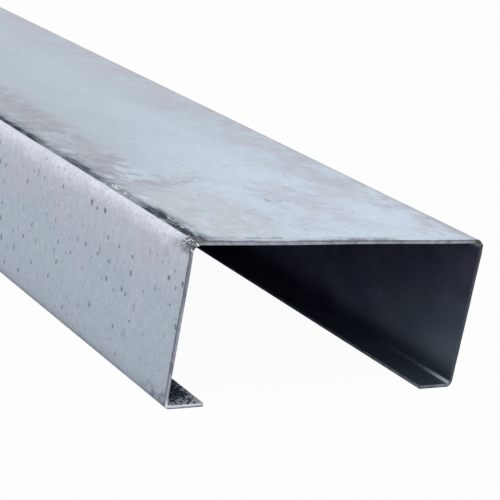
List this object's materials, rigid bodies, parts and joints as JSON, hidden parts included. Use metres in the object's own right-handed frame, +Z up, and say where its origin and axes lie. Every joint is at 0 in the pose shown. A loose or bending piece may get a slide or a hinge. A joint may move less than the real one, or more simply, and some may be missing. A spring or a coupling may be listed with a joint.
{
  "type": "c-channel",
  "caption": "Straight length of galvanised steel lipped C-section: flat web, square flanges and short inturned lips, with rounded bends and square-cut ends.",
  "frame": {"origin": "middle of the footprint, on the floor that the two lips rest on", "axes": "+X across the web, +Y along the length, +Z up out of the web's outer face; the open side faces down"},
  "size_m": [0.089, 2.4, 0.041],
  "materials": {
    "galvanised_steel": "hot-dip galvanised sheet, dull pale blue-grey, with handling smears, scrapes along the bends and bare sheared edges"
  },
  "bodies": {
    "root": {"c_channel": "galvanised_steel"}
  },
  "joints": []
}
